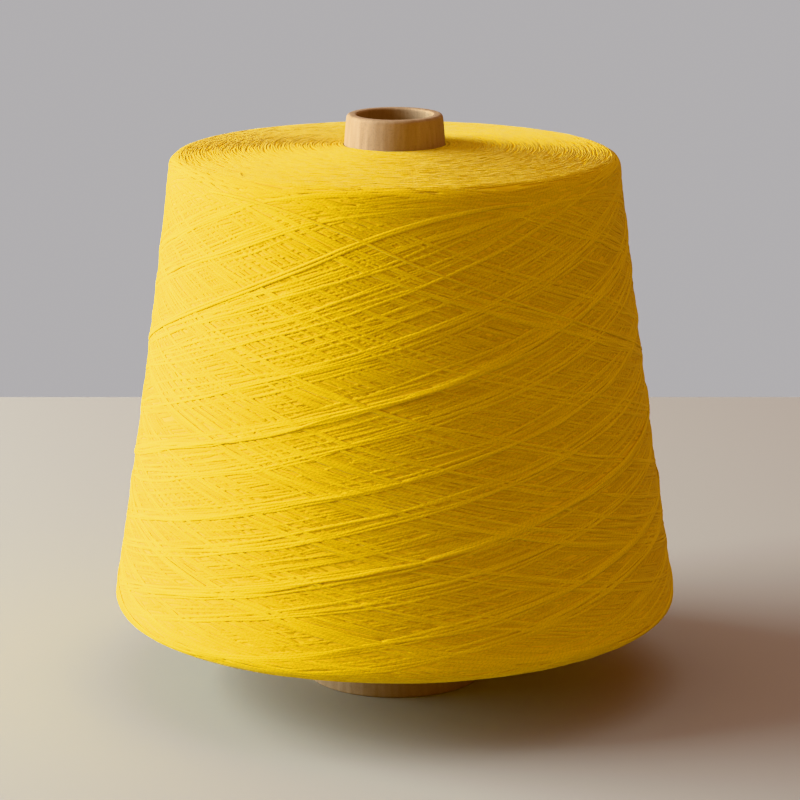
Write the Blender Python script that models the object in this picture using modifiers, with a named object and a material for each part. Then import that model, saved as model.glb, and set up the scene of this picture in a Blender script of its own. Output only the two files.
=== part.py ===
"""Cone of yarn: a cross-wound package of yarn on a tapered paper tube.

Metres, +Z up. The origin is the centre of the tube's foot, on the surface that it stands on.
"""
import math

import bmesh
import bpy
from mathutils import Vector

MM = 0.001

# Paper tube: 170 mm long, with the standard taper of 4 degrees 20 minutes a side.
TUBE_LENGTH = 170 * MM
TUBE_TAPER = math.tan(math.radians(4 + 20 / 60))
TUBE_NOSE_RADIUS = 14.1 * MM
TUBE_WALL = 3.0 * MM
TUBE_FOOT_ROUND = 0.5 * MM
TUBE_TURN_STEPS = 64
TUBE_NOSE_STEPS = 8

# Wound yarn: a taller, blunter cone than the tube, with crisp ends.
YARN_FOOT_HEIGHT = 23.4 * MM
YARN_FOOT_RADIUS = 83.5 * MM
YARN_FOOT_ROUND = 4.0 * MM
YARN_HEAD_HEIGHT = 157.9 * MM
YARN_HEAD_RADIUS = 65.7 * MM
YARN_HEAD_ROUND = 2.5 * MM
YARN_WAIST = 0.7 * MM      # how far the side draws in half way up
YARN_CROWN = 3.3 * MM      # rise of the upper face from its rim to the tube
YARN_HOLLOW = 4.8 * MM     # rise of the under face from its rim to the tube
YARN_END_CURVE = 1.5       # how late along an end face that rise comes
YARN_GAP = 0.35 * MM       # clearance to the tube
SIDE_FOOT = YARN_FOOT_HEIGHT + YARN_FOOT_ROUND
SIDE_HEAD = YARN_HEAD_HEIGHT - YARN_HEAD_ROUND

# Winding: the yarn climbs while it goes round, more slowly near the foot.
WINDS_AROUND = 48                 # strands that cross any level, in each direction
FOOT_CLIMB = 15.5 * MM            # climb for each radian of turn
HEAD_CLIMB = 25.5 * MM
# Heights of neighbouring strands over the side, repeated round the package. Those that rise to
# the right stand out more than those that fall to the right.
RISING_RELIEF = (0.75 * MM, 0.0, 0.1 * MM)
FALLING_RELIEF = (0.55 * MM, 0.0, 0.0)
CROSSING_LIFT = 0.3               # share of the lower strand's height that lifts the upper one
END_FADE_ROWS = 3                 # rows over which the strands sink into the rounded ends
END_LAYER_RELIEF = 0.25 * MM      # rings that the layers leave on the two end faces
END_FACE_ROWS = 6
ROUND_ROWS = 3
BORE_ROWS = 5                     # this makes the rows even in number, so they can alternate

YARN_YELLOW = (0.78, 0.49, 0.02, 1.0)
PAPER_BROWN = (0.46, 0.26, 0.12, 1.0)


def clear_scene():
    for old in list(bpy.data.objects):
        bpy.data.objects.remove(old, do_unlink=True)


def material(name, colour, roughness):
    made = bpy.data.materials.new(name)
    made.use_nodes = True
    shader = made.node_tree.nodes["Principled BSDF"]
    shader.inputs["Base Color"].default_value = colour
    shader.inputs["Roughness"].default_value = roughness
    shader.inputs["Metallic"].default_value = 0.0
    made.diffuse_color = colour
    return made


def arc(centre, radius, start, end, steps):
    """Points of an arc in the (radius, height) plane, both ends included; angles in degrees."""
    points = []
    for step in range(steps + 1):
        angle = math.radians(start + (end - start) * step / steps)
        points.append((centre[0] + radius * math.cos(angle), centre[1] + radius * math.sin(angle)))
    return points


def turned(name, outline, steps, collection):
    """A closed outline in the (radius, height) plane, turned once round the Z axis."""
    count = len(outline)
    mesh = bpy.data.meshes.new(name)
    edges = [(i, (i + 1) % count) for i in range(count)]
    mesh.from_pydata([(radius, 0.0, height) for radius, height in outline], edges, [])
    made = bpy.data.objects.new(name, mesh)
    collection.objects.link(made)
    screw = made.modifiers.new("Turn", "SCREW")
    screw.axis = "Z"
    screw.steps = steps
    screw.render_steps = steps
    screw.use_merge_vertices = True
    screw.merge_threshold = 0.01 * MM
    screw.use_smooth_shade = True
    return made


def applied(made):
    """Replaces an object's mesh with the one its modifiers give."""
    graph = bpy.context.evaluated_depsgraph_get()
    mesh = bpy.data.meshes.new_from_object(made.evaluated_get(graph))
    mesh.name = made.name
    made.modifiers.clear()
    made.data = mesh


# ---------------------------------------------------------------- paper tube

def tube_radius(height):
    """Outside radius of the paper tube at a height."""
    return TUBE_NOSE_RADIUS + (TUBE_LENGTH - height) * TUBE_TAPER


def paper_tube(collection):
    """The tube's wall, its nose edge rolled to a half round and its foot edges eased."""
    nose_round = TUBE_WALL / 2
    nose_centre = (TUBE_NOSE_RADIUS - nose_round, TUBE_LENGTH - nose_round)
    foot_outside = tube_radius(0)
    foot_inside = foot_outside - TUBE_WALL
    ease = TUBE_FOOT_ROUND
    outline = arc(nose_centre, nose_round, 180, 0, TUBE_NOSE_STEPS)
    outline += [(foot_outside, ease), (foot_outside - ease, 0.0)]
    outline += [(foot_inside + ease, 0.0), (foot_inside, ease)]
    tube = turned("paper_cone", outline, TUBE_TURN_STEPS, collection)
    tube.data.materials.append(material("paper_board", PAPER_BROWN, 0.85))
    applied(tube)
    tube.data.shade_smooth()
    tube.data.set_sharp_from_angle(angle=math.radians(40))
    return tube


# ---------------------------------------------------------------- wound yarn

def side_radius(height):
    """Mean radius of the yarn's side at a height: a straight taper, drawn in at the waist."""
    share = (height - SIDE_FOOT) / (SIDE_HEAD - SIDE_FOOT)
    taper = YARN_FOOT_RADIUS + (YARN_HEAD_RADIUS - YARN_FOOT_RADIUS) * share
    return taper - YARN_WAIST * 4 * share * (1 - share)


def side_heights():
    """Heights of the rows on the side. From row to row a strand goes round half a column."""
    growth = (HEAD_CLIMB - FOOT_CLIMB) / (SIDE_HEAD - SIDE_FOOT)
    turn = math.log(HEAD_CLIMB / FOOT_CLIMB) / growth
    rows = round(turn / (math.pi / WINDS_AROUND))
    climbs = [FOOT_CLIMB * math.exp(growth * turn * row / rows) for row in range(rows + 1)]
    return [SIDE_FOOT + (climb - FOOT_CLIMB) / growth for climb in climbs]


def yarn_outline():
    """Rows of the package, from the bore's top over the head, down the side and round to the bore.

    Each row is (radius, height, kind).
    """
    bore_head = YARN_HEAD_HEIGHT + YARN_CROWN
    bore_foot = YARN_FOOT_HEIGHT + YARN_HOLLOW
    head_edge = YARN_HEAD_RADIUS - YARN_HEAD_ROUND
    foot_edge = YARN_FOOT_RADIUS - YARN_FOOT_ROUND
    rows = []
    inner = tube_radius(bore_head) + YARN_GAP
    for step in range(END_FACE_ROWS):
        share = step / END_FACE_ROWS
        height = bore_head - YARN_CROWN * share ** YARN_END_CURVE
        rows.append((inner + (head_edge - inner) * share, height, "head"))
    head_round = arc((head_edge, SIDE_HEAD), YARN_HEAD_ROUND, 90, 0, ROUND_ROWS)
    rows += [(radius, height, "round") for radius, height in head_round[:-1]]
    rows += [(side_radius(height), height, "side") for height in reversed(side_heights())]
    foot_round = arc((foot_edge, SIDE_FOOT), YARN_FOOT_ROUND, 0, -90, ROUND_ROWS)
    rows += [(radius, height, "round") for radius, height in foot_round[1:]]
    inner = tube_radius(bore_foot) + YARN_GAP
    for step in range(1, END_FACE_ROWS + 1):
        share = step / END_FACE_ROWS
        height = YARN_FOOT_HEIGHT + YARN_HOLLOW * share ** YARN_END_CURVE
        rows.append((foot_edge + (inner - foot_edge) * share, height, "foot"))
    for step in range(1, BORE_ROWS):
        height = bore_foot + (bore_head - bore_foot) * step / BORE_ROWS
        rows.append((tube_radius(height) + YARN_GAP, height, "bore"))
    return rows


def strand_height(half_column, side_row):
    """Relief where an up-going and a down-going strand cross, the higher one lying on top."""
    rising = RISING_RELIEF[(half_column - side_row) // 2 % len(RISING_RELIEF)]
    falling = FALLING_RELIEF[(half_column + side_row) // 2 % len(FALLING_RELIEF)]
    return max(rising, falling) + CROSSING_LIFT * min(rising, falling)


def wound_yarn(collection):
    """The package, turned from its outline, then raised along its main strands.

    Every second row is turned by half a column, so strands of both directions run along edges.
    """
    rows = yarn_outline()
    outline = [(radius, height) for radius, height, kind in rows]
    yarn = turned("wound_yarn", outline, WINDS_AROUND, collection)
    marks = yarn.data.attributes.new("row", "INT", "POINT")
    marks.data.foreach_set("value", list(range(len(rows))))
    yarn.data.materials.append(material("yarn", YARN_YELLOW, 0.9))
    applied(yarn)

    foot_row = max(row for row, (radius, height, kind) in enumerate(rows) if kind == "side")
    side_rows = sum(kind == "side" for radius, height, kind in rows) - 1
    half_pitch = math.pi / WINDS_AROUND
    row_of = yarn.data.attributes["row"].data
    for vertex in yarn.data.vertices:
        row = row_of[vertex.index].value
        radius, height, kind = rows[row]
        side_row = foot_row - row
        column = round(math.atan2(vertex.co.y, vertex.co.x) / (2 * half_pitch))
        half_column = 2 * column + side_row % 2
        if kind == "side":
            fade = min(1.0, side_row / END_FADE_ROWS, (side_rows - side_row) / END_FADE_ROWS)
            radius += fade * strand_height(half_column, side_row)
        elif kind in ("head", "foot"):
            height += END_LAYER_RELIEF * (side_row % 2)
        angle = half_column * half_pitch
        vertex.co = Vector((radius * math.cos(angle), radius * math.sin(angle), height))
    yarn.data.attributes.remove(yarn.data.attributes["row"])

    cage = bmesh.new()
    cage.from_mesh(yarn.data)
    bmesh.ops.triangulate(cage, faces=cage.faces, quad_method="SHORT_EDGE")
    cage.to_mesh(yarn.data)
    cage.free()
    yarn.data.shade_smooth()
    yarn.data.set_sharp_from_angle(angle=math.radians(50))
    return yarn


def main():
    clear_scene()
    collection = bpy.data.collections.new("cone_of_yarn")
    bpy.context.scene.collection.children.link(collection)
    root = bpy.data.objects.new("cone_of_yarn_root", None)
    collection.objects.link(root)
    for piece in (paper_tube(collection), wound_yarn(collection)):
        piece.parent = root


main()
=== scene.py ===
"""Looks of the cone of yarn: its wound strands, its paper tube, soft daylight and the camera.

Metres, +Z up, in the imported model's frame. The yarn is laid on strand by strand, each traverse over
what already lies there, so that strands cross, sink between others and stand proud as they do on a
wound cone. Places on the package are given by the angle round its axis and by the distance along
its outline, which is zero where the side begins above the rounded foot edge.
"""
import math
from collections import namedtuple

import bpy
import numpy as np
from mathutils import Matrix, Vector


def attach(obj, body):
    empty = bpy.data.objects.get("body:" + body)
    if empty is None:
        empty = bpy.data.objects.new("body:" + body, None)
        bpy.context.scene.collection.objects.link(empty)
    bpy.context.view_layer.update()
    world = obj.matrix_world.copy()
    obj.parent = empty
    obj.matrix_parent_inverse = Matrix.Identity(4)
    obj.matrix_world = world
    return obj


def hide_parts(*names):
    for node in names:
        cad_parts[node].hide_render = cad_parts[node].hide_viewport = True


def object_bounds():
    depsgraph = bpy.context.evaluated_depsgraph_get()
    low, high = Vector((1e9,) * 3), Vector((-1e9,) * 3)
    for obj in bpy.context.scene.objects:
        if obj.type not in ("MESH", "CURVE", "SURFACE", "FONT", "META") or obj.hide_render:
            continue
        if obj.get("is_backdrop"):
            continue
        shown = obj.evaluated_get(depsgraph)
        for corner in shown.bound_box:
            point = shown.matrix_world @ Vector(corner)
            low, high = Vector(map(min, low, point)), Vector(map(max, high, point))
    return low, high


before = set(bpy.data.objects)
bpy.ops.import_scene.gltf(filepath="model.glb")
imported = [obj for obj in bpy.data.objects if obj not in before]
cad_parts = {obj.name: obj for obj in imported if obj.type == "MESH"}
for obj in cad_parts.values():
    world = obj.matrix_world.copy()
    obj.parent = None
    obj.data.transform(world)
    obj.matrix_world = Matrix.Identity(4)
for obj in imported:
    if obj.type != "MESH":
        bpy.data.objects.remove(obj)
cad_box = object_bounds()

MM = 0.001
DRAW = np.random.default_rng(11)

# Paper tube: the solid's own sizes, but for the edge of its nose.
TUBE_LENGTH = 170 * MM
TUBE_TAPER = math.tan(math.radians(4 + 20 / 60))
TUBE_NOSE_RADIUS = 14.1 * MM
TUBE_WALL = 3.0 * MM
TUBE_ROUNDS = (1.1 * MM, 0.6 * MM)      # of its nose edge, outside and inside
TUBE_FOOT_ROUND = 0.5 * MM
TUBE_TURN_STEPS = 180
TUBE_WALL_POINTS = 12
TUBE_ROUND_POINTS = 10

# Package: the solid's outline, but with a lower foot, a rounder head edge, a flatter crown and a
# closer fit to the tube.
FOOT_HEIGHT = 22.9 * MM
FOOT_RADIUS = 83.5 * MM
FOOT_ROUND = 4.0 * MM
HEAD_HEIGHT = 157.9 * MM
HEAD_RADIUS = 65.7 * MM
HEAD_ROUND = 3.6 * MM
WAIST = 0.7 * MM                # how far the side draws in half way up
CROWN = 2.5 * MM                # rise of the upper face from its rim to the tube
HOLLOW = 4.8 * MM               # rise of the under face from its rim to the tube
END_CURVE = 1.5                 # power of the curve of both end faces
GAP = 0.1 * MM                  # clearance to the tube
SIDE_FOOT = FOOT_HEIGHT + FOOT_ROUND
SIDE_HEAD = HEAD_HEIGHT - HEAD_ROUND
HEAD_LEAN = 1.0 * MM            # how much higher the head end is at the front than at the back
LEAN_FROM = 135 * MM            # height at which the lean begins

# The outline is drawn with so many points on an end face, on a rounded edge and on the side, and is
# then divided into even steps.
FACE_POINTS = 400
ROUND_POINTS = 60
SIDE_POINTS = 1200
OUTLINE_STEP = 0.1 * MM

# Yarn: a strand's width and thickness, and its section as angles clockwise round an ellipse. On the
# side the strands are pressed flat, and on the end faces they are narrower.
Yarn = namedtuple("Yarn", "width thickness section")
SIDE_YARN = Yarn(1.06 * MM, 0.54 * MM, np.radians([112, 68, 2, -90, -182]))
HEAD_YARN = Yarn(0.62 * MM, 0.68 * MM, np.radians([90, 25, -35, -145, -205]))
FOOT_YARN = Yarn(0.86 * MM, 0.50 * MM, HEAD_YARN.section)
YARN_UNEVEN = (0.86, 1.12)      # narrowest and widest strand, as shares of that width

# Winding of the side.
FOOT_CLIMB = 15.5 * MM          # climb for each radian of turn
HEAD_CLIMB = 27.0 * MM
FOOT_SLOWING = 0.6              # radians over which a traverse slows down before it turns back
HEAD_SLOWING = 0.8
FOOT_TURNS = (-10.9 * MM, -2.9 * MM)    # where traverses would turn if they didn't slow down
HEAD_TURNS = (8.1 * MM, 15.6 * MM)      # the same, past the head end of the side
TURN_OVER = 0.12                # radians that a strand goes on past its turn, sinking out of sight
TURN_SINK = 0.7 * MM            # how far it sinks there
CYCLES = 460                    # pairs of a rising and a falling traverse
BUNDLES = 13                    # bundles of neighbouring strands that grow at the same time
BUNDLE_SIZE = 6                 # strands of a bundle in each direction
BUNDLE_STEP = 1.0 * MM          # their spacing, measured up the side at the head
BUNDLE_UNEVEN = 0.35            # how uneven the spacing is, as a share of itself
BUNDLE_TURNS = 0.6 * MM         # how unevenly the strands of a bundle turn back
GOLDEN_ANGLE = math.pi * (3 - math.sqrt(5))
WANDER = 0.50 * MM              # how far a strand strays from its helix over a long way
WANDER_STEPS = 161              # that way, in path steps
WOBBLE = 0.10 * MM              # how far it strays over a short way
WOBBLE_STEPS = 41
WAVER = 0.08 * MM               # how far it rises and sinks on its way
WAVER_STEPS = 21
SMOOTHING_LOSS = 0.67           # smoothing over n steps leaves 1 / (0.67 n) of the mean square
RISING_LIFT = 0.13 * MM         # how much higher rising strands lie than falling ones
FRONT = math.radians(-30)       # the front right, where they stand out more
FRONT_LIFT = 0.12 * MM          # how much more there, and how much less on the opposite side

# The last strands, which stand out in the photograph: the angle in degrees and the height that each
# passes, and whether it rises.
LAST_STRANDS = (
    (-159.6, 113.0 * MM, True),
    (-158.0, 113.0 * MM, True),
    (-88.1, 140.0 * MM, False),
)
LAST_STEEPNESS = (1.12, 1.20)   # their climb, against the others', when they fall and when they rise
LAST_LIFT = -0.02 * MM          # their height above the place where they would lie by themselves
LAST_STRAIGHTNESS = 6           # how many times straighter they lie than the others

# Laying, on a map of the surface. Its rows and columns are whole blocks, which blur quickly. A path
# step is also the unit of the counts of steps below.
CELL = 0.25 * MM                # cell of the map
ROW_BLOCK = 32
COLUMN_BLOCK = 64
BARE = -1.0 * MM                # height of the map where nothing lies
LEAST_COVER = 0.02              # least cover that an average over the covered part is divided by
SIDE_OVERLAP = 3 * MM           # how far the side's map goes on over the end faces
PATH_STEP = 0.4 * MM
PROBES = (-0.84, -0.42, 0, 0.42, 0.84)  # places across a strand, as shares of half its width
MIDDLE_PROBES = slice(1, 4)
TENSION = 13                    # steps over which a taut strand bridges hollows
SEAT = 0.55                     # share of its thickness by which a strand lies above those below

# Settling, which presses the surface level. Its broad height is what is larger than the first size,
# its lumps are what is larger than the second, and its fine relief is the rest.
BROAD = 5 * MM
LUMP = 1.2 * MM
SETTLE_EVERY = 10               # cycles
LUMP_KEEP = 0.72                # share of the lumps that stays each time
FINE_KEEP = 0.96                # share of the fine relief that stays each time
FINAL_LUMP = 0.7 * MM           # the second size when the package is done, and the shares that stay
FINAL_LUMP_KEEP = 0.78
FINAL_FINE_KEEP = 0.19
CALM_REACH = (3 * MM, 16 * MM)  # distances from either end between which those shares grow to full
CALM_KEEP = 0.3                 # how much of them is left nearer to the end

# Runs of a strand that show.
RING_EVERY = 9                  # steps between the rings of a strand's tube
FEWEST_RINGS = 3
SHOW_WIDTH = 2                  # probes across a strand that must show
SHOW_LENGTH = 5                 # steps that must show
SHOW_MARGIN = 5                 # steps that a run goes on below others, at either end
END_SINK = 0.25 * MM            # how far its ends sink there
MOST_RINGS = 18500              # rings of one piece, so that it stays under 200,000 triangles
PLY_SHIFT = 7.3                 # millimetres by which one strand's plies are out of step with the last

# Body below the strands.
BODY_RISE = 0.04 * MM           # how far it reaches above the middles of the strands
BODY_EDGE_RISE = 0.13 * MM      # the same where the side begins and ends
BODY_FACE_RISE = 0.04 * MM      # the same on the end faces
BODY_EDGE = 9 * MM              # distance from an end of the side to where BODY_RISE is reached
BODY_STEP = 1.5 * MM            # size of its faces

# End faces: the tops of the older layers' turns, as rows of arcs.
FACE_OVERLAP = 2 * MM           # how far the rows go on round the rims
ARC_SPACING = 0.72              # spacing of the rows, as a share of the arcs' width
ARC_LENGTH = 18 * MM
ARC_LENGTHS = (0.8, 1.2)        # shortest and longest, as shares of that length
ARC_SHARE = 0.72                # spacing of the arcs of a row, as a share of their length
ARC_SHIFT = 0.2                 # how uneven it is, as a share of itself
FEWEST_ARCS = 3
ARC_DIP = 0.22 * MM             # how far an arc's ends sink between the others
ARC_DIP_POWER = 4               # how late along the arc they sink
ARC_UNEVEN = 0.025 * MM         # how unevenly high the arcs lie
ARC_STRAY = 0.15 * MM           # how far an arc lies from its row
ARC_SLANT = 0.40 * MM           # how much further at one end, and nearer at the other


# ---------------------------------------------------------------- outline

Outline = namedtuple("Outline", "along radius height out_r out_z")


def side_radius(height):
    """Mean radius of the package's side at a height."""
    share = (height - SIDE_FOOT) / (SIDE_HEAD - SIDE_FOOT)
    taper = FOOT_RADIUS + (HEAD_RADIUS - FOOT_RADIUS) * share
    return taper - WAIST * 4 * share * (1 - share)


def tube_radius(height):
    """Outside radius of the paper tube at a height."""
    return TUBE_NOSE_RADIUS + (TUBE_LENGTH - height) * TUBE_TAPER


def quarter(centre_radius, centre_height, size, start, count):
    """Points of a quarter circle in the (radius, height) plane, from an angle in degrees."""
    angle = np.radians(np.linspace(start, start + 90, count))
    return centre_radius + size * np.cos(angle), centre_height + size * np.sin(angle)


def package_outline():
    """The outline from the tube's foot end, out, up the side and in to the tube again."""
    foot_edge, head_edge = FOOT_RADIUS - FOOT_ROUND, HEAD_RADIUS - HEAD_ROUND
    foot_inner = tube_radius(FOOT_HEIGHT + HOLLOW) + GAP
    head_inner = tube_radius(HEAD_HEIGHT + CROWN) + GAP
    share = np.linspace(0, 1, FACE_POINTS)
    back = share[::-1]
    heights = np.linspace(SIDE_FOOT, SIDE_HEAD, SIDE_POINTS)
    parts = [
        (foot_edge + (foot_inner - foot_edge) * back, FOOT_HEIGHT + HOLLOW * back ** END_CURVE),
        quarter(foot_edge, SIDE_FOOT, FOOT_ROUND, -90, ROUND_POINTS),
        (side_radius(heights), heights),
        quarter(head_edge, SIDE_HEAD, HEAD_ROUND, 0, ROUND_POINTS),
        (head_edge + (head_inner - head_edge) * share,
         HEAD_HEIGHT + CROWN * (1 - (1 - share) ** END_CURVE)),
    ]
    radius = np.concatenate([part[0][:-1] for part in parts])
    height = np.concatenate([part[1][:-1] for part in parts])
    along = np.concatenate([[0], np.cumsum(np.hypot(np.diff(radius), np.diff(height)))])
    side_begins = FACE_POINTS + ROUND_POINTS - 2
    along -= along[side_begins]
    even = np.arange(along[0], along[-1], OUTLINE_STEP)
    radius, height = np.interp(even, along, radius), np.interp(even, along, height)
    out_r, out_z = np.gradient(height, even), -np.gradient(radius, even)
    length = np.hypot(out_r, out_z)
    return Outline(even, radius, height, out_r / length, out_z / length)


OUTLINE = package_outline()
SIDE_LENGTH = float(OUTLINE.along[np.argmax(OUTLINE.height > SIDE_HEAD)])
ON_SIDE = (OUTLINE.along >= 0) & (OUTLINE.along <= SIDE_LENGTH)
FOOT_FACE = -FOOT_ROUND * math.pi / 2
HEAD_FACE = SIDE_LENGTH + HEAD_ROUND * math.pi / 2


def outline_at(along):
    """Radius, height and outward direction of the package at distances along its outline."""
    return [np.interp(along, OUTLINE.along, values) for values in OUTLINE[1:]]


# ---------------------------------------------------------------- winding

def smoothed(values, count):
    """Moving average that keeps the ends."""
    kernel = np.hanning(count + 2)[1:-1]
    kernel /= kernel.sum()
    padded = np.pad(values, count // 2, mode="edge")
    return np.convolve(padded, kernel, mode="same")[count // 2:count // 2 + len(values)]


def drift(count, spread):
    """Smooth random drift over a spread of steps, with a mean square of about one."""
    rough = smoothed(DRAW.normal(0, 1, count + spread), spread)[:count]
    return rough * math.sqrt(spread * SMOOTHING_LOSS)


def strayed(count):
    """How far a strand lies from its helix, along its way."""
    return drift(count, WANDER_STEPS) * WANDER + drift(count, WOBBLE_STEPS) * WOBBLE


class Traverse:
    """One traverse: angle from its start, distance along the outline, and how far it sinks."""

    def __init__(self, foot_turn, head_turn, rising, steepness=1.0):
        growth = (HEAD_CLIMB - FOOT_CLIMB) / SIDE_LENGTH * steepness
        foot_climb = FOOT_CLIMB * steepness + growth * foot_turn
        head_climb = FOOT_CLIMB * steepness + growth * head_turn
        self.turn = math.log(head_climb / foot_climb) / growth
        steps = int((self.turn + 2 * TURN_OVER) * FOOT_RADIUS / PATH_STEP)
        angle = np.linspace(-TURN_OVER, self.turn + TURN_OVER, steps)
        left = self.turn - angle
        along = foot_turn + foot_climb * (np.exp(growth * angle) - 1) / growth
        along += foot_climb * np.maximum(0, FOOT_SLOWING - angle) ** 2 / (2 * FOOT_SLOWING)
        along -= head_climb * np.maximum(0, HEAD_SLOWING - left) ** 2 / (2 * HEAD_SLOWING)
        sink = TURN_SINK * (np.maximum(0, np.maximum(-angle, -left)) / TURN_OVER) ** 2
        self.angle = angle if rising else left[::-1]
        self.along = along if rising else along[::-1]
        self.sink = sink if rising else sink[::-1]


class Strand:
    """A strand's path over the package, its height and how proud it stands of the broad height."""

    def __init__(self, angle, along, lift):
        self.angle = angle
        self.along = along
        self.lift = lift
        self.proud = lift


class Surface:
    """Map of the height of the strands' middles over angle and distance along the outline."""

    def __init__(self, yarn, lowest, highest):
        self.yarn = yarn
        self.lowest = lowest
        round_middle = 2 * math.pi * outline_at((lowest + highest) / 2)[0]
        self.columns = COLUMN_BLOCK * round(round_middle / CELL / COLUMN_BLOCK)
        rows = ROW_BLOCK * math.ceil((highest - lowest) / CELL / ROW_BLOCK)
        self.height = np.full((rows, self.columns), BARE)
        self.on_top = np.full((rows, self.columns), -1)
        self.strands = []

    def cells(self, angle, along):
        """Rows and columns of the map at places on the package."""
        column = np.floor(angle / (2 * math.pi) * self.columns).astype(int) % self.columns
        row = ((along - self.lowest) / CELL).astype(int).clip(0, self.height.shape[0] - 1)
        return row, column

    def across(self, angle, along):
        """Cells under a strand's path and to either side of it, with the drop of its round section."""
        radius = outline_at(along)[0]
        ahead, up = np.gradient(angle) * radius, np.gradient(along)
        length = np.hypot(ahead, up)
        for share in PROBES:
            offset = share * self.yarn.width / 2
            drop = self.yarn.thickness / 2 * (1 - math.sqrt(1 - share ** 2))
            yield drop, self.cells(angle - up / length * offset / radius, along + ahead / length * offset)

    def lay(self, angle, along, extra):
        """Lays a strand over what is there, with some extra height along it."""
        spots = list(self.across(angle, along))[MIDDLE_PROBES]
        under = np.mean([self.height[spot] for drop, spot in spots], axis=0)
        self.place(angle, along, smoothed(under, TENSION) + SEAT * self.yarn.thickness + extra)

    def place(self, angle, along, lift):
        """Places a strand at a height."""
        for drop, spot in self.across(angle, along):
            higher = lift - drop > self.height[spot]
            self.on_top[spot] = np.where(higher, len(self.strands), self.on_top[spot])
            self.height[spot] = np.where(higher, lift - drop, self.height[spot])
        self.strands.append(Strand(angle, along, lift))

    def blurred(self, values, size):
        """A map blurred over a spot of a size. It goes on round the axis and is mirrored at its ends."""
        rows = values.shape[0]
        pad = rows // 4
        padded = np.pad(values, ((pad, pad), (0, 0)), mode="symmetric")
        down = np.fft.fftfreq(padded.shape[0])[:, None] * size / CELL
        across = np.fft.rfftfreq(self.columns)[None, :] * size / CELL
        blur = np.exp(-2 * math.pi ** 2 * (down ** 2 + across ** 2))
        return np.fft.irfft2(np.fft.rfft2(padded) * blur, padded.shape)[pad:pad + rows]

    def level(self, size):
        """The height of the covered part of the map, blurred."""
        covered = (self.on_top >= 0).astype(float)
        cover = np.maximum(self.blurred(covered, size), LEAST_COVER)
        return self.blurred(self.height * covered, size) / cover

    def settle(self, broad_keep, lump_keep, fine_keep, lump=LUMP):
        """Presses the broad height, the lumps and the fine relief, each to a share of itself."""
        broad, lumps = self.level(BROAD), self.level(lump)
        fine_keep = np.broadcast_to(fine_keep, self.height.shape)
        base = broad * broad_keep + (lumps - broad) * lump_keep - lumps * fine_keep
        self.height = base + self.height * fine_keep
        for strand in self.strands:
            spot = self.cells(strand.angle, strand.along)
            strand.proud = strand.lift - broad[spot]
            strand.lift = base[spot] + strand.lift * fine_keep[spot]

    def calm(self):
        """How much of the final shares stays at each row of the map, as a column."""
        along = self.lowest + CELL * (np.arange(self.height.shape[0])[:, None] + 0.5)
        from_end = np.minimum(along, SIDE_LENGTH - along)
        return np.interp(from_end, CALM_REACH, (CALM_KEEP, 1))

    def shown(self):
        """The runs of strands that show, each with a little at either end."""
        for index, strand in enumerate(self.strands):
            spots = self.across(strand.angle, strand.along)
            seen = sum(self.on_top[spot] == index for drop, spot in spots) >= SHOW_WIDTH
            spread = np.convolve(seen, np.ones(2 * SHOW_MARGIN + 1), mode="same") > 0
            edges = np.flatnonzero(np.diff(np.concatenate([[0], spread.astype(int), [0]])))
            for start, end in zip(edges[::2], edges[1::2]):
                if seen[start:end].sum() >= SHOW_LENGTH:
                    run = slice(start, end)
                    yield index, strand.angle[run], strand.along[run], strand.lift[run], strand.proud[run]


def bundle_turns():
    """Where a bundle turns back at the head, and at the foot before and after it."""
    return np.array([SIDE_LENGTH + DRAW.uniform(*HEAD_TURNS), *DRAW.uniform(*FOOT_TURNS, 2)])


def lay_last_strands(surface):
    """Lays the strands that stand out over the settled package."""
    foot_turn, head_turn = np.mean(FOOT_TURNS), SIDE_LENGTH + np.mean(HEAD_TURNS)
    for degrees, height, rising in LAST_STRANDS:
        path = Traverse(foot_turn, head_turn, rising, LAST_STEEPNESS[rising])
        along = np.interp(height, OUTLINE.height[ON_SIDE], OUTLINE.along[ON_SIDE])
        passes = np.argmin(np.abs(path.along - along))
        angle = path.angle - path.angle[passes] + math.radians(degrees)
        stray = strayed(len(angle)) / LAST_STRAIGHTNESS
        surface.lay(angle, path.along + stray, LAST_LIFT - path.sink)


def wind_side():
    """Winds the yarn on, traverse by traverse, and returns the surface with its strands."""
    surface = Surface(SIDE_YARN, FOOT_FACE - SIDE_OVERLAP, HEAD_FACE + SIDE_OVERLAP)
    turns = {}
    for cycle in range(CYCLES):
        batch, turn = divmod(cycle, BUNDLES * BUNDLE_SIZE)
        member, place = divmod(turn, BUNDLES)
        start = (batch * BUNDLES + place) * GOLDEN_ANGLE
        start += (member + DRAW.uniform(-1, 1) * BUNDLE_UNEVEN) * BUNDLE_STEP / HEAD_CLIMB
        if member == 0:
            turns[place] = bundle_turns()
        head_turn, *foot_turns = turns[place] + DRAW.uniform(-1, 1, 3) * BUNDLE_TURNS
        for rising, foot_turn in zip((True, False), foot_turns):
            path = Traverse(foot_turn, head_turn, rising)
            angle = path.angle + start
            along = path.along + strayed(len(angle))
            extra = drift(len(angle), WAVER_STEPS) * WAVER - path.sink
            if rising:
                extra += RISING_LIFT + FRONT_LIFT * np.cos(angle - FRONT)
            surface.lay(angle, along, extra)
            start += path.turn
        if cycle % SETTLE_EVERY == 0:
            surface.settle(1.0, LUMP_KEEP, FINE_KEEP)
    calm = surface.calm()
    surface.settle(0.0, FINAL_LUMP_KEEP * calm, FINAL_FINE_KEEP * calm, FINAL_LUMP)
    for strand in surface.strands:
        row, column = surface.cells(strand.angle, strand.along)
        strand.proud *= calm[row, 0]
    lay_last_strands(surface)
    return surface


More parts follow.
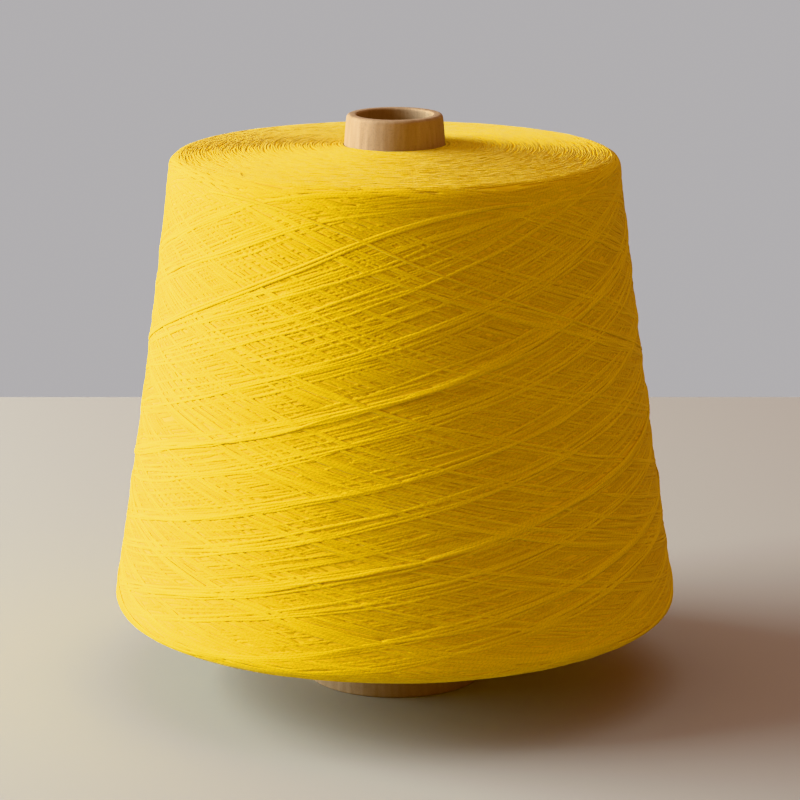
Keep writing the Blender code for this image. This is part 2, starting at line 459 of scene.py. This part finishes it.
def wind_end(yarn, face, end):
    """The turns of the older layers, whose tops make an end face, from the tube out to the rim."""
    surface = Surface(yarn, min(face, end), max(face, end))
    rows = round(abs(end - face) / (ARC_SPACING * yarn.width))
    for row in range(rows):
        middle = end + (face - end) * (row + 0.5) / rows
        radius = float(outline_at(middle)[0])
        count = max(FEWEST_ARCS, round(2 * math.pi * radius / (ARC_LENGTH * ARC_SHARE)))
        start = DRAW.uniform(0, 2 * math.pi)
        for index in range(count):
            half = ARC_LENGTH / 2 / radius * DRAW.uniform(*ARC_LENGTHS)
            share = np.linspace(-1, 1, 2 * int(half * radius / PATH_STEP) + 1)
            shift = DRAW.uniform(-ARC_SHIFT, ARC_SHIFT)
            angle = start + (index + shift) * 2 * math.pi / count + half * share
            stray = DRAW.normal(0, ARC_STRAY) + DRAW.normal(0, ARC_SLANT) * share
            lift = DRAW.normal(0, ARC_UNEVEN) - ARC_DIP * share ** ARC_DIP_POWER
            surface.place(angle, middle + stray, lift)
    return surface


# ---------------------------------------------------------------- meshes

def leaned(points):
    """Points of the package with its head end leaning as in the photograph."""
    share = ((points[:, 2] - LEAN_FROM) / (HEAD_HEIGHT - LEAN_FROM)).clip(0, 1)
    share = share ** 2 * (3 - 2 * share)
    points[:, 2] += HEAD_LEAN * share * (0.5 - points[:, 1] / (2 * HEAD_RADIUS))
    return points


def strand_tube(angle, along, lift, width, yarn):
    """Rings of points round a strand's path over the package."""
    radius, height, out_r, out_z = outline_at(along)
    out = np.stack([out_r * np.cos(angle), out_r * np.sin(angle), out_z], 1)
    centre = np.stack([radius * np.cos(angle), radius * np.sin(angle), height], 1)
    centre = leaned(centre + out * lift[:, None])
    ahead = np.gradient(centre, axis=0)
    ahead /= np.linalg.norm(ahead, axis=1)[:, None]
    side = np.cross(ahead, out)
    side /= np.linalg.norm(side, axis=1)[:, None]
    up = np.cross(side, ahead)
    half, rise = width / 2, yarn.thickness / 2
    corners = [(half * math.cos(turn), rise * math.sin(turn)) for turn in yarn.section]
    return np.stack([centre + side * across + up * above for across, above in corners], 1)


def joined_tubes(name, tubes, section):
    """One mesh of many tubes, each with caps and a UV map that runs along and around it.

    Around a tube, the map counts turns clockwise from its top, on from the strand's own number.
    """
    count = len(section)
    corner = np.arange(count)[None, :]
    around = 0.25 - np.append(section, section[0] - 2 * math.pi) / (2 * math.pi)
    points, prouds, quads, caps, quad_uv = [], [], [], [], []
    base = 0
    for rings, run, index, proud in tubes:
        ring = np.arange(len(rings) - 1)[:, None]
        a, b = base + ring * count + corner, base + ring * count + (corner + 1) % count
        quads.append(np.stack([a, b, b + count, a + count], 2).reshape(-1, 4))
        u0, u1 = run[:-1, None] + 0 * corner, run[1:, None] + 0 * corner
        v0, v1 = index + around[corner + 0 * ring], index + around[corner + 1 + 0 * ring]
        quad_uv.append(np.stack([u0, v0, u0, v1, u1, v1, u1, v0], 2).reshape(-1, 8))
        caps.append(np.arange(count)[::-1] + base)
        caps.append(np.arange(count) + base + (len(rings) - 1) * count)
        points.append(rings.reshape(-1, 3))
        prouds.append(np.repeat(proud, count))
        base += len(rings) * count
    points, quads, caps = np.concatenate(points), np.concatenate(quads), np.stack(caps)
    mesh = bpy.data.meshes.new(name)
    mesh.vertices.add(len(points))
    mesh.vertices.foreach_set("co", points.ravel())
    mesh.loops.add(quads.size + caps.size)
    mesh.loops.foreach_set("vertex_index", np.concatenate([quads.ravel(), caps.ravel()]))
    mesh.polygons.add(len(quads) + len(caps))
    starts = np.concatenate([np.arange(len(quads)) * 4, quads.size + np.arange(len(caps)) * count])
    mesh.polygons.foreach_set("loop_start", starts)
    layer = mesh.uv_layers.new(name="strand")
    uv = np.concatenate([np.concatenate(quad_uv).ravel(), np.zeros(caps.size * 2)])
    layer.uv.foreach_set("vector", uv.astype(np.float32))
    depth = mesh.attributes.new("proud", "FLOAT", "POINT")
    depth.data.foreach_set("value", np.concatenate(prouds).astype(np.float32) / MM)
    mesh.update(calc_edges=True)
    mesh.validate()
    mesh.shade_smooth()
    made = bpy.data.objects.new(name, mesh)
    bpy.context.scene.collection.objects.link(made)
    return made


def yarn_pieces(name, surface, material):
    """Pieces of a surface's joined strands, each under the limit on its size."""
    yarn = surface.yarn
    pieces, tubes, size = [], [], 0
    for index, angle, along, lift, proud in surface.shown():
        picked = np.unique(np.append(np.arange(0, len(angle), RING_EVERY), len(angle) - 1))
        if len(picked) < FEWEST_RINGS:
            continue
        lift = lift[picked]
        lift[[0, -1]] -= END_SINK
        width = yarn.width * DRAW.uniform(*YARN_UNEVEN)
        rings = strand_tube(angle[picked], along[picked], lift, width, yarn)
        run = angle[picked] * FOOT_RADIUS / MM + index * PLY_SHIFT
        tubes.append((rings, run, index, proud[picked]))
        size += len(rings)
        if size > MOST_RINGS:
            pieces.append(joined_tubes(f"{name}_{len(pieces) + 1}", tubes, yarn.section))
            tubes, size = [], 0
    if tubes:
        pieces.append(joined_tubes(f"{name}_{len(pieces) + 1}", tubes, yarn.section))
    for piece in pieces:
        piece.data.materials.append(material)
        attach(piece, "root")


def turned_piece(name, radius, height, steps, material):
    """A closed outline, out along the foot, up and in over the head, turned once round the axis."""
    count = len(radius)
    mesh = bpy.data.meshes.new(name)
    edges = [(i, (i + 1) % count) for i in range(count)]
    mesh.from_pydata([(r, 0, z) for r, z in zip(radius, height)], edges, [])
    made = bpy.data.objects.new(name, mesh)
    bpy.context.scene.collection.objects.link(made)
    screw = made.modifiers.new("Turn", "SCREW")
    screw.axis = "Z"
    screw.steps = screw.render_steps = steps
    screw.use_merge_vertices = True
    screw.merge_threshold = 0.01 * MM
    screw.use_smooth_shade = True
    graph = bpy.context.evaluated_depsgraph_get()
    turned = bpy.data.meshes.new_from_object(made.evaluated_get(graph))
    turned.flip_normals()
    made.modifiers.clear()
    made.data = turned
    made.data.materials.append(material)
    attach(made, "root")
    return made


def package_body(side, material):
    """The package's body, which fills the gaps between the strands and follows their lumps."""
    picked = np.arange(0, len(OUTLINE.along), round(BODY_STEP / OUTLINE_STEP))
    radius, height = OUTLINE.radius[picked], OUTLINE.height[picked]
    steps = round(2 * math.pi * FOOT_RADIUS / BODY_STEP)
    made = turned_piece("yarn_body", radius, height, steps, material)
    places = np.empty(len(made.data.vertices) * 3)
    made.data.vertices.foreach_get("co", places)
    places = places.reshape(-1, 3)
    angle = np.arctan2(places[:, 1], places[:, 0])
    from_axis = np.hypot(places[:, 0], places[:, 1])
    row = picked[np.hypot(from_axis[:, None] - radius, places[:, 2:] - height).argmin(1)]
    along = OUTLINE.along[row]
    reach = (FOOT_FACE, 0, BODY_EDGE, SIDE_LENGTH - BODY_EDGE, SIDE_LENGTH, HEAD_FACE)
    rises = (BODY_FACE_RISE, BODY_EDGE_RISE, BODY_RISE)
    rise = np.interp(along, reach, rises + rises[::-1])
    rise += np.where(ON_SIDE[row], side.level(LUMP)[side.cells(angle, along)], 0)
    rise[(row == picked[0]) | (row == picked[-1])] = 0
    out_r, out_z = OUTLINE.out_r[row], OUTLINE.out_z[row]
    out = np.stack([out_r * np.cos(angle), out_r * np.sin(angle), out_z], 1)
    made.data.vertices.foreach_set("co", leaned(places + out * rise[:, None]).ravel())
    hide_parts("wound_yarn")


def paper_tube(material):
    """The paper tube, the edge of its nose rounded more outside than inside."""
    outside, inside = TUBE_ROUNDS
    ease = TUBE_FOOT_ROUND
    wall = np.linspace(ease, TUBE_LENGTH - 2 * outside, TUBE_WALL_POINTS)
    bore = np.linspace(TUBE_LENGTH - 2 * inside, ease, TUBE_WALL_POINTS)
    inner_centre = TUBE_NOSE_RADIUS - TUBE_WALL + inside
    parts = [
        (tube_radius(0) + np.array([ease - TUBE_WALL, -ease]), np.zeros(2)),
        (tube_radius(wall), wall),
        quarter(TUBE_NOSE_RADIUS - outside, TUBE_LENGTH - outside, outside, 0, TUBE_ROUND_POINTS),
        quarter(inner_centre, TUBE_LENGTH - inside, inside, 90, TUBE_ROUND_POINTS),
        (tube_radius(bore) - TUBE_WALL, bore),
    ]
    radius, height = np.concatenate(parts, axis=1)
    made = turned_piece("paper_tube", radius, height, TUBE_TURN_STEPS, material)
    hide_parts("paper_cone")


# ---------------------------------------------------------------- materials

# A yarn's look: the heights between which it goes from its painted shade of lying deep to none,
# its sheen's weight and tint, and whether it is grooved along its length.
YarnLook = namedtuple("YarnLook", "deepest proudest sheen tint grooved")
SIDE_LOOK = YarnLook(-0.50 * MM, 0.20 * MM, 0.22, (1.0, 0.94, 0.55, 1), False)
FACE_LOOK = YarnLook(-0.40 * MM, 0.0, 0.30, (1.0, 0.98, 0.72, 1), True)

YARN_TONES = (0.77, 0.51, 0.006, 1), (0.935, 0.66, 0.012, 1)
# painted shade: deeper strands darker and more orange, as if shaded by those over them
PAINTED_DEPTH_SHADE = (0.79, 0.71, 0.52, 1)
# painted shade along the flanks of each strand, where it meets its neighbours
PAINTED_FLANK_SHADE = (0.86, 0.81, 0.65, 1)
PLY_LAY = 2.7                   # millimetres along a strand in which its two plies turn once
TONE_RATE = 0.05                # how quickly the tone changes along a strand
# a little darker than the yarn's tones: painted shade of the strands lying below
BELOW_TONES = (0.78, 0.49, 0.005, 1), (0.88, 0.59, 0.009, 1)
BOARD_TONES = (0.36, 0.232, 0.128, 1), (0.485, 0.340, 0.218, 1)

# Scales of noise.
FIBRES = 2600
GROOVES = 2600
BELOW_GROOVES = 1500
BOARD_FIBRES = 2200
BOARD_STREAKS = 700
BOARD_CLOUDS = 90
GROOVE_STRETCH = 0.007          # metres of noise for a radian, which draw grooves out round the axis
STREAK_STRETCH = (1.0, 1.0, 0.08)       # which draws the board's streaks out upwards


class Nodes:
    """A material and short calls to add nodes to it."""

    def __init__(self, name):
        self.material = bpy.data.materials.new(name)
        self.material.use_nodes = True
        self.tree = self.material.node_tree
        self.shader = self.tree.nodes["Principled BSDF"]

    def feed(self, socket, value):
        """Links an output to a socket, or sets the socket to a plain value."""
        if isinstance(value, bpy.types.NodeSocket):
            self.tree.links.new(value, socket)
        else:
            socket.default_value = value

    def add(self, kind, inputs=None, **settings):
        node = self.tree.nodes.new(kind)
        for key, value in settings.items():
            setattr(node, key, value)
        for key, value in (inputs or {}).items():
            self.feed(node.inputs[key], value)
        return node

    def maths(self, operation, *values):
        node = self.add("ShaderNodeMath", operation=operation)
        for socket, value in zip(node.inputs, values):
            self.feed(socket, value)
        return node.outputs[0]

    def noise(self, vector, scale, detail):
        inputs = {"Vector": vector, "Scale": scale, "Detail": detail}
        return self.add("ShaderNodeTexNoise", inputs).outputs["Fac"]

    def ramp(self, factor, *stops):
        """A colour from a factor, through stops of a position and a colour."""
        node = self.add("ShaderNodeValToRGB", {"Fac": factor})
        elements = node.color_ramp.elements
        for element, (position, colour) in zip(elements, stops, strict=True):
            element.position = position
            element.color = colour
        return node.outputs["Color"]

    def product(self, colour, tint):
        """A colour multiplied by another. The node has them as its sockets 6, 7 and 2."""
        node = self.add("ShaderNodeMix", data_type="RGBA", blend_type="MULTIPLY")
        for index, value in ((0, 1.0), (6, colour), (7, tint)):
            self.feed(node.inputs[index], value)
        return node.outputs[2]

    def set(self, **values):
        """Sets or links inputs of the shader, with _ for each space of their names."""
        for key, value in values.items():
            self.feed(self.shader.inputs[key.replace("_", " ")], value)


def grey(value):
    return (value, value, value, 1)


def grooves(made, scale):
    """Noise drawn out round the axis, like fine strands side by side."""
    solid = made.add("ShaderNodeTexCoord").outputs["Object"]
    parts = made.add("ShaderNodeSeparateXYZ", {"Vector": solid})
    x, y, z = (parts.outputs[axis] for axis in "XYZ")
    squares = made.maths("MULTIPLY", x, x), made.maths("MULTIPLY", y, y)
    radius = made.maths("SQRT", made.maths("ADD", *squares))
    turned = made.maths("MULTIPLY", made.maths("ARCTAN2", y, x), GROOVE_STRETCH)
    round_axis = made.add("ShaderNodeCombineXYZ", {"X": radius, "Y": turned, "Z": z}).outputs[0]
    return made.noise(round_axis, scale, 2.0)


def yarn_material(name, look):
    """Dyed yarn: two plies twisted together, a slow change of tone along each strand, and fibres.

    Strands carry painted shade: darker in the groove between their plies, along their flanks and
    where they lie deeper under others.
    """
    made = Nodes(name)
    place = made.add("ShaderNodeUVMap", uv_map="strand").outputs["UV"]
    parts = made.add("ShaderNodeSeparateXYZ", {"Vector": place})
    run, around = parts.outputs["X"], parts.outputs["Y"]
    lay = made.maths("MULTIPLY", run, 1 / PLY_LAY)
    twist = made.maths("SINE", made.maths("MULTIPLY", made.maths("ADD", lay, around), 2 * math.pi))
    plies = made.maths("ABSOLUTE", twist)
    drawn_out = {"X": made.maths("MULTIPLY", run, TONE_RATE), "Y": around}
    slow = made.noise(made.add("ShaderNodeCombineXYZ", drawn_out).outputs[0], 1.0, 3.0)
    solid = made.add("ShaderNodeTexCoord").outputs["Object"]
    fibres = made.noise(solid, FIBRES, 3.0)

    dark, light = YARN_TONES
    colour = made.ramp(slow, (0.3, dark), (0.7, light))
    # painted shade in the groove where the two plies meet
    colour = made.product(colour, made.ramp(plies, (0.0, grey(0.80)), (0.45, grey(1.0))))
    # painted shade of lying deep: the lower a strand lies, the darker it is
    proud = made.add("ShaderNodeAttribute", attribute_name="proud").outputs["Fac"]
    reach = {"Value": proud, "From Min": look.deepest / MM, "From Max": look.proudest / MM}
    height = made.add("ShaderNodeMapRange", reach).outputs[0]
    colour = made.product(colour, made.ramp(height, (0.0, PAINTED_DEPTH_SHADE), (1.0, grey(1.0))))
    # painted shade: each strand darker along its flanks, away from its top
    turned = made.maths("FRACT", made.maths("ADD", around, 0.5))
    from_top = made.maths("ABSOLUTE", made.maths("SUBTRACT", turned, 0.5))
    colour = made.product(colour, made.ramp(from_top, (0.13, grey(1.0)), (0.26, PAINTED_FLANK_SHADE)))
    colour = made.product(colour, made.ramp(fibres, (0.30, grey(0.89)), (0.60, grey(1.0))))

    relief = made.maths("ADD", plies, made.maths("MULTIPLY", fibres, 0.8))
    bump = made.add("ShaderNodeBump", {"Height": relief, "Strength": 0.2, "Distance": 0.12 * MM})
    if look.grooved:
        bump = made.add("ShaderNodeBump", {"Height": grooves(made, GROOVES), "Strength": 0.8,
                                           "Distance": 0.30 * MM, "Normal": bump.outputs[0]})
    rough = made.maths("ADD", 0.72, made.maths("MULTIPLY", fibres, 0.2))
    made.set(Base_Color=colour, Roughness=rough, Normal=bump.outputs[0], Specular_IOR_Level=0.1,
             Sheen_Weight=look.sheen, Sheen_Roughness=0.5, Sheen_Tint=look.tint)
    return made.material


def body_material():
    """The strands below, seen through gaps: a little darker than those on top, painted shade of lying
    below them, with fine grooves round the package.
    """
    made = Nodes("yarn_below")
    strands = grooves(made, BELOW_GROOVES)
    dark, light = BELOW_TONES
    colour = made.ramp(strands, (0.3, dark), (0.7, light))
    bump = made.add("ShaderNodeBump", {"Height": strands, "Strength": 0.7, "Distance": 0.3 * MM})
    made.set(Base_Color=colour, Roughness=0.85, Normal=bump.outputs[0])
    return made.material


def board_material():
    """Unbleached paper board: fibres, faint upright streaks and clouds."""
    made = Nodes("paper_board")
    solid = made.add("ShaderNodeTexCoord").outputs["Object"]
    upright = made.add("ShaderNodeMapping", {"Vector": solid, "Scale": STREAK_STRETCH}).outputs[0]
    streaks = made.noise(upright, BOARD_STREAKS, 3.0)
    clouds = made.noise(solid, BOARD_CLOUDS, 4.0)
    fibres = made.noise(solid, BOARD_FIBRES, 3.0)
    dark, light = BOARD_TONES
    colour = made.ramp(streaks, (0.25, dark), (0.75, light))
    colour = made.product(colour, made.ramp(clouds, (0.3, grey(0.88)), (0.7, grey(1.0))))
    colour = made.product(colour, made.ramp(fibres, (0.30, grey(0.86)), (0.50, grey(1.0))))
    relief = made.maths("ADD", made.maths("MULTIPLY", streaks, 0.6), fibres)
    bump = made.add("ShaderNodeBump", {"Height": relief, "Strength": 0.5, "Distance": 0.15 * MM})
    rough = made.maths("ADD", 0.62, made.maths("MULTIPLY", clouds, 0.25))
    made.set(Base_Color=colour, Roughness=rough, Normal=bump.outputs[0], Specular_IOR_Level=0.35)
    return made.material


def table_material():
    """A pale, matt colour."""
    made = Nodes("table_top")
    made.set(Base_Color=TABLE_COLOUR, Roughness=0.9)
    return made.material


# ---------------------------------------------------------------- stage, light, camera

TABLE_COLOUR = (0.42, 0.405, 0.385, 1)
TABLE_BACK = 0.349              # how far the table reaches behind the cone,
TABLE_REACH = 3.0               # and to its other sides
WALL_COLOUR = (0.474, 0.463, 0.472, 1)
ROOM_LIGHT = (0.445, 0.225, 0.165, 1)

AreaLight = namedtuple("AreaLight", "name place aim size watts colour")
LIGHTS = (
    AreaLight("window", (-1.5, 0.07, 0.61), (0, 0, 0.09), (1.4, 1.1), 71, (0.92, 1.06, 1.04)),
    AreaLight("ceiling", (0.2, 0.0, 1.8), (0, 0, 0.1), (1.6, 1.6), 6, (0.85, 1.0, 0.9)),
)

# Camera: how far it looks down, its distance from the point that it aims at, and its lens.
PITCH = math.radians(13.75)
DISTANCE = 0.96
AIM = Vector((1.55 * MM, 0, 84.15 * MM))
SENSOR_WIDTH = 36               # millimetres, as the lens is
LENS = 145.2
CLIP = (0.01, 50)


def table():
    """A plain flat top, which stands in for the cloth in the photograph."""
    mesh = bpy.data.meshes.new("table")
    x, near, far = TABLE_REACH, -TABLE_REACH, TABLE_BACK
    mesh.from_pydata([(-x, near, 0), (x, near, 0), (x, far, 0), (-x, far, 0)], [], [(0, 1, 2, 3)])
    made = bpy.data.objects.new("table", mesh)
    bpy.context.scene.collection.objects.link(made)
    made.data.materials.append(table_material())
    made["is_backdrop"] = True


def room():
    """A pale wall for the camera and a warmer, dimmer room for the light."""
    world = bpy.data.worlds.new("room")
    bpy.context.scene.world = world
    world.use_nodes = True
    nodes, links = world.node_tree.nodes, world.node_tree.links
    seen, lit = nodes["Background"], nodes.new("ShaderNodeBackground")
    seen.inputs["Color"].default_value = WALL_COLOUR
    lit.inputs["Color"].default_value = ROOM_LIGHT
    path, mix = nodes.new("ShaderNodeLightPath"), nodes.new("ShaderNodeMixShader")
    links.new(path.outputs["Is Camera Ray"], mix.inputs["Fac"])
    links.new(lit.outputs[0], mix.inputs[1])
    links.new(seen.outputs[0], mix.inputs[2])
    links.new(mix.outputs[0], nodes["World Output"].inputs["Surface"])


def area_light(light):
    data = bpy.data.lights.new(light.name, "AREA")
    data.shape = "RECTANGLE"
    data.size, data.size_y = light.size
    data.energy = light.watts
    data.color = light.colour
    made = bpy.data.objects.new(light.name, data)
    bpy.context.scene.collection.objects.link(made)
    made.location = light.place
    ahead = Vector(light.aim) - Vector(light.place)
    made.rotation_euler = ahead.to_track_quat("-Z", "Y").to_euler()


def camera():
    data = bpy.data.cameras.new("camera")
    data.sensor_width = SENSOR_WIDTH
    data.lens = LENS
    data.clip_start, data.clip_end = CLIP
    made = bpy.data.objects.new("camera", data)
    bpy.context.scene.collection.objects.link(made)
    back = Vector((0, -math.cos(PITCH), math.sin(PITCH)))
    made.location = AIM + back * DISTANCE
    made.rotation_euler = (-back).to_track_quat("-Z", "Y").to_euler()
    bpy.context.scene.camera = made


def main():
    side = wind_side()
    yarn_pieces("yarn_side", side, yarn_material("yarn", SIDE_LOOK))
    turns = yarn_material("yarn_turns", FACE_LOOK)
    yarn_pieces("yarn_head", wind_end(HEAD_YARN, HEAD_FACE - FACE_OVERLAP, OUTLINE.along[-1]), turns)
    yarn_pieces("yarn_foot", wind_end(FOOT_YARN, FOOT_FACE + FACE_OVERLAP, OUTLINE.along[0]), turns)
    package_body(side, body_material())
    paper_tube(board_material())
    table()
    room()
    for light in LIGHTS:
        area_light(light)
    camera()
    bpy.context.scene.view_settings.view_transform = "Khronos PBR Neutral"


main()
[[list(corner) for corner in box] for box in (cad_box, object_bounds())]
